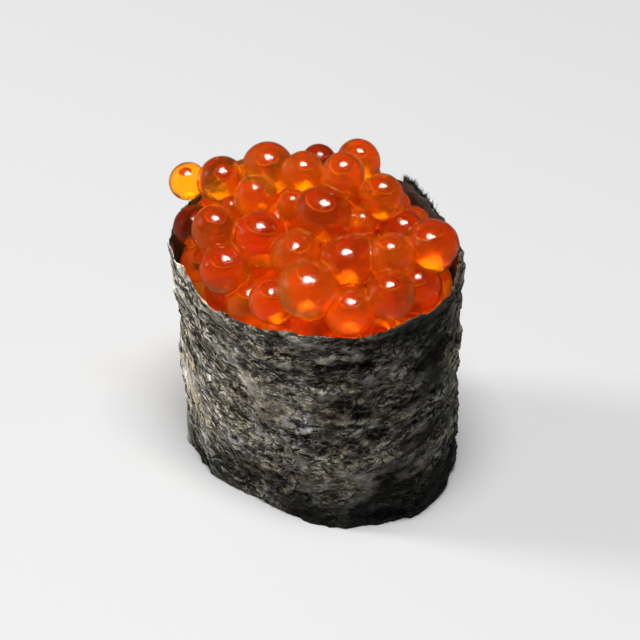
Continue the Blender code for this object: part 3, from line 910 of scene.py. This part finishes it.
def nori_finish():
    """Near-black pressed seaweed. Crevices are painted black and crests paler, as painted shade
    and painted highlight; silver-grey on the left end as painted sheen and brown-black at the foot
    as painted shade, with smooth blue-grey patches, tan flecks and thin threads."""
    made = Finish("nori", Roughness=0.38, IOR=1.36)
    # the place along and across the fibres in mm, drawn out along them to twice the length
    along = made.add("Math", {0: made.attribute("along"), 1: 0.50}, operation="MULTIPLY")
    place = made.add("CombineXYZ", {"X": along.outputs[0], "Y": made.attribute("across")})
    place = place.outputs["Vector"]
    base = made.ramp(made.noise(place, 0.36, 3, 0.6, 0.8), (0.38, (0.038, 0.034, 0.025)),
                     (0.50, (0.064, 0.060, 0.053)), (0.62, (0.080, 0.084, 0.094)))
    # painted shade and highlight: crevices of the relief painted near-black, crests pale
    base = made.tone(base, made.attribute("crest"), (0.28, 0.02), (0.46, 0.30), (0.62, 0.98),
                     (0.88, (1.75, 1.75, 1.71)))
    streaks = made.noise(place, 1.25, 5, 0.72, 0.25)
    pits = made.ramp(streaks, (0.34, 1), (0.42, 0))
    flecks = made.ramp(streaks, (0.54, 0), (0.66, 1))
    shaggy = made.ramp(made.attribute("calm"), (0.2, 1), (0.9, 0.12))
    pits = made.multiply(pits, shaggy)
    flecks = made.multiply(flecks, shaggy)
    base = made.mix(pits, base, (0.004, 0.004, 0.003))
    kinds = made.ramp(made.noise(place, 0.9, 1), (0.40, (0.24, 0.24, 0.23)),
                      (0.52, (0.17, 0.155, 0.115)), (0.64, (0.27, 0.235, 0.165)))
    colour = made.mix(flecks, base, kinds)
    threads = made.ramp(made.noise(place, 1.7, 3, 0.6, 0.5), (0.455, 0), (0.495, 1),
                        (0.505, 1), (0.545, 0))
    broken = made.ramp(made.noise(place, 1.1, 2), (0.44, 0), (0.52, 0.85))
    colour = made.mix(made.multiply(threads, broken), colour, (0.26, 0.245, 0.205))
    # painted shade in small hollows, broad warm and cool patches, then painted sheen and shade
    colour = made.tone(colour, made.noise(place, 0.75, 3, 0.7, 0.4), (0.36, 0.10),
                       (0.45, 0.85), (0.62, 1.25))
    colour = made.tone(colour, made.noise(place, 0.24, 2), (0.38, (0.84, 0.80, 0.73)),
                       (0.60, (1.13, 1.14, 1.16)))
    made.paint(made.tone(colour, made.attribute("glow"), (0, (0.10, 0.10, 0.09)),
                         (0.40, (1.75, 1.70, 1.60)), (1, (4.6, 4.45, 4.2))))
    made.bump(made.noise(place, 2.6, 5, 0.75), 0.9, 0.30 * MM)
    return made


def strand_finish():
    """Shreds of seaweed: black and olive, tan and silver-grey."""
    made = Finish("nori_shreds", Roughness=0.45, IOR=1.30)
    place = made.place()
    colour = made.ramp(made.attribute("tint"), (0.20, (0.006, 0.006, 0.005)),
                       (0.50, (0.040, 0.040, 0.034)), (0.68, (0.130, 0.118, 0.085)),
                       (0.82, (0.22, 0.20, 0.15)), (1, (0.30, 0.30, 0.29)))
    made.paint(made.tone(colour, made.noise(place, 1300, 4, 0.7), (0.38, 0.05), (0.62, 1.1)))
    made.bump(made.noise(place, 2500, 2), 0.4, 0.05 * MM)
    return made


def egg_finish():
    """The egg's jelly: clear and wet, riper or paler from egg to egg, amber below and painted
    deep orange above as painted shade. Its skin is very slightly uneven, which breaks up the
    highlights."""
    made = Finish("egg_jelly", Roughness=0.05, IOR=1.33, Transmission_Weight=0.92,
                  Coat_Weight=1, Coat_Roughness=0.04, Coat_IOR=1.50,
                  Subsurface_Weight=1, Subsurface_Scale=0.002,
                  Subsurface_Radius=(1, 0.35, 0.08))
    ripe = made.ramp(made.attribute("ripeness"), (0, (0.42, 0.11, 0.008)),
                     (0.15, (0.84, 0.31, 0.010)), (0.6, (0.93, 0.44, 0.018)),
                     (1, (1, 0.42, 0.025)))
    # painted shade: the upper part of each egg, by the lift mark, is darkened towards red
    made.paint(made.tone(ripe, made.attribute("lift"), (0.15, 1), (0.50, (1, 0.84, 0.62)),
                         (0.92, (0.84, 0.44, 0.26))))
    made.bump(made.noise(made.place(), 800, 4, 0.75), 0.8, 0.14 * MM)
    output = made.tree.nodes["Material Output"]
    # light inside loses what the colour lacks, so thick places are deeper
    volume = made.add("VolumeAbsorption", {"Color": (0.99, 0.93, 0.42), "Density": 500})
    made.link(volume.outputs["Volume"], output.inputs["Volume"])
    # light from lamps passes with a tint, so that what lies inside is lit
    lamplight = made.add("LightPath").outputs["Is Shadow Ray"]
    clear = made.add("BsdfTransparent", {"Color": (0.98, 0.77, 0.34)}).outputs["BSDF"]
    mix = made.add("MixShader", {0: lamplight, 1: made.shader.outputs["BSDF"], 2: clear})
    made.link(mix.outputs[0], output.inputs["Surface"])
    return made


def oil_finish():
    """The oil drop: a deeper red, with a painted highlight for the light refracted round its edge,
    bright orange.
    """
    made = Finish("roe_oil", Roughness=0.10, IOR=1.12, Transmission_Weight=0.55)
    edge = made.ramp(made.attribute("edge"), (0.60, (0.36, 0.045, 0.002)),
                     (0.78, (0.62, 0.17, 0.008)), (0.90, (1, 0.52, 0.06)))
    made.paint(made.multiply(edge, made.mottle(500, (0.82, 0.80, 0.80), 1)))
    return made


def film_finish():
    """A thin clear film of orange juice."""
    made = Finish("roe_film", Roughness=0.04, IOR=1.50, Transmission_Weight=0.8)
    made.paint(made.mottle(300, (0.70, 0.17, 0.01), (0.95, 0.34, 0.02)))
    made.bump(made.noise(made.place(), 1400, 3, 0.6), 1, 0.15 * MM)
    return made


def juice_finish():
    """Juice and the eggs below, seen as one orange jelly, painted dark red as painted shade
    between the eggs.
    """
    made = Finish("roe_juice", Roughness=0.18, IOR=1.36, Subsurface_Weight=1,
                  Subsurface_Scale=0.002, Subsurface_Radius=(1, 0.3, 0.06))
    made.paint(made.mottle(260, (0.26, 0.060, 0.004), (0.42, 0.120, 0.006)))
    return made


def rice_finish():
    """Cooked rice: warm white, moist."""
    made = Finish("cooked_rice", Roughness=0.35, Subsurface_Weight=0.6,
                  Subsurface_Scale=0.0015, Subsurface_Radius=(1, 0.8, 0.6))
    made.paint(made.mottle(300, (0.74, 0.70, 0.60), (0.85, 0.83, 0.76)))
    return made


# ---- the stage

VIEW_AZIMUTH, VIEW_ELEVATION, VIEW_ROLL = 41.3, 37.7, -1  # degrees
VIEW_DISTANCE, LENS = 0.385, 151
TARGET_RISE = 3 * MM  # how far over the strip's middle the camera aims
FLOOR_HALF = 1.3
SKY_STRENGTH = 0.12


def heading(azimuth, elevation):
    """Unit direction from the object; azimuth 0 is in front, at -Y, and 90 at +X."""
    a, e = np.radians([azimuth, elevation])
    return Vector((np.cos(e) * np.sin(a), -np.cos(e) * np.cos(a), np.sin(e)))


def facing(away):
    """The rotation of a lamp or camera that looks back along this direction."""
    return away.to_track_quat("Z", "Y")


def add_camera(target):
    """The camera, aimed at the target with a slight roll."""
    camera = put("camera", bpy.data.cameras.new("camera"))
    camera.data.lens = LENS
    camera.data.clip_start = 0.01
    away = heading(VIEW_AZIMUTH, VIEW_ELEVATION)
    camera.location = target + away * VIEW_DISTANCE
    roll = Matrix.Rotation(np.radians(VIEW_ROLL), 3, "Z")
    camera.rotation_euler = (facing(away).to_matrix() @ roll).to_euler()
    bpy.context.scene.camera = camera


def add_lamp(name, kind, azimuth, elevation, power, mirrored):
    """A lamp that shines from this direction. Unless mirrored, no highlight shows it."""
    lamp = put(name, bpy.data.lights.new(name, kind))
    lamp.data.energy = power
    lamp.visible_glossy = mirrored
    lamp.rotation_euler = facing(heading(azimuth, elevation)).to_euler()
    return lamp


def add_softbox(name, target, azimuth, elevation, distance, size, watts, mirrored=True):
    """A round soft lamp, this far from the target."""
    lamp = add_lamp(name, "AREA", azimuth, elevation, watts, mirrored)
    lamp.data.shape = "DISK"
    lamp.data.size = size
    lamp.data.color = (1, 0.99, 0.975)
    lamp.location = target + heading(azimuth, elevation) * distance


def add_floor():
    """A pale floor with a very slight unevenness in its colour. It is dark in reflections,
    which would haze the eggs, and bright through the eggs, where a far floor lies behind."""
    corners = FLOOR_HALF * np.array([(-1, -1, 0), (1, -1, 0), (1, 1, 0), (-1, 1, 0)])
    mesh = bpy.data.meshes.new("floor")
    mesh.from_pydata(corners.tolist(), [], [[0, 1, 2, 3]])
    made = Finish("pale_floor", Roughness=0.45)
    colour = made.mottle(3, (0.415, 0.417, 0.421), (0.432, 0.435, 0.439))
    path = made.add("LightPath")
    colour = made.mix(path.outputs["Is Glossy Ray"], colour, 0.05)
    made.paint(made.mix(path.outputs["Is Transmission Ray"], colour, 0.85))
    mesh.materials.append(made.material)
    floor = put("floor", mesh)


def add_world():
    """A faint cool sky, dimmer still in reflections and pale where the camera sees it."""
    world = bpy.data.worlds.new("studio")
    bpy.context.scene.world = world
    world.use_nodes = True
    tree = world.node_tree
    sky = tree.nodes["Background"]
    sky.inputs["Color"].default_value = (0.93, 0.95, 1, 1)
    path = add_node(tree, "LightPath")
    strength = SKY_STRENGTH
    for ray, value in (("Is Glossy Ray", 0.03), ("Is Camera Ray", 0.80)):
        step = add_node(tree, "MapRange", {"Value": path.outputs[ray], "To Min": strength,
                                           "To Max": value})
        strength = step.outputs["Result"]
    tree.links.new(strength, sky.inputs["Strength"])


def build():
    """The strip, the roe and the rice, then the stage."""
    low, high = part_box("nori_band")
    target = (low + high) / 2 + Vector((0, 0, TARGET_RISE))
    nori_sheet(nori_finish())
    shreds = strand_finish()
    nori_strands(shreds, default_rng(STRAND_SEED))
    nori_fringe(shreds, default_rng(FRINGE_SEED))
    draw = default_rng(ROE_SEED)
    centre, radius = fill_gaps(*settle_eggs(), draw)
    lumps = draw.uniform(-0.11, 0.05, (len(centre), 3))
    roe_eggs(egg_finish(), centre, radius, lumps, draw)
    oil_drops(oil_finish(), centre, radius, lumps, draw)
    roe_film(film_finish(), centre, radius, draw)
    roe_juice(juice_finish())
    rice = rice_finish()
    rice_core(rice)
    rice_grains(rice, default_rng(RICE_SEED))
    add_floor()
    add_world()
    add_camera(target)
    # azimuth and elevation in degrees, then distance and size in metres, and watts
    add_softbox("overhead", target, 40, 82, 0.60, 0.27, 3.1)
    daylight = add_lamp("daylight", "SUN", 40, 80, 2, mirrored=False)
    daylight.data.angle = np.radians(28)
    add_softbox("beside", target, 100, 72, 0.60, 0.10, 0.8)
    add_softbox("window", target, -60, 18, 1.10, 0.30, 15, mirrored=False)


bpy.context.scene.view_settings.view_transform = "Standard"
build()
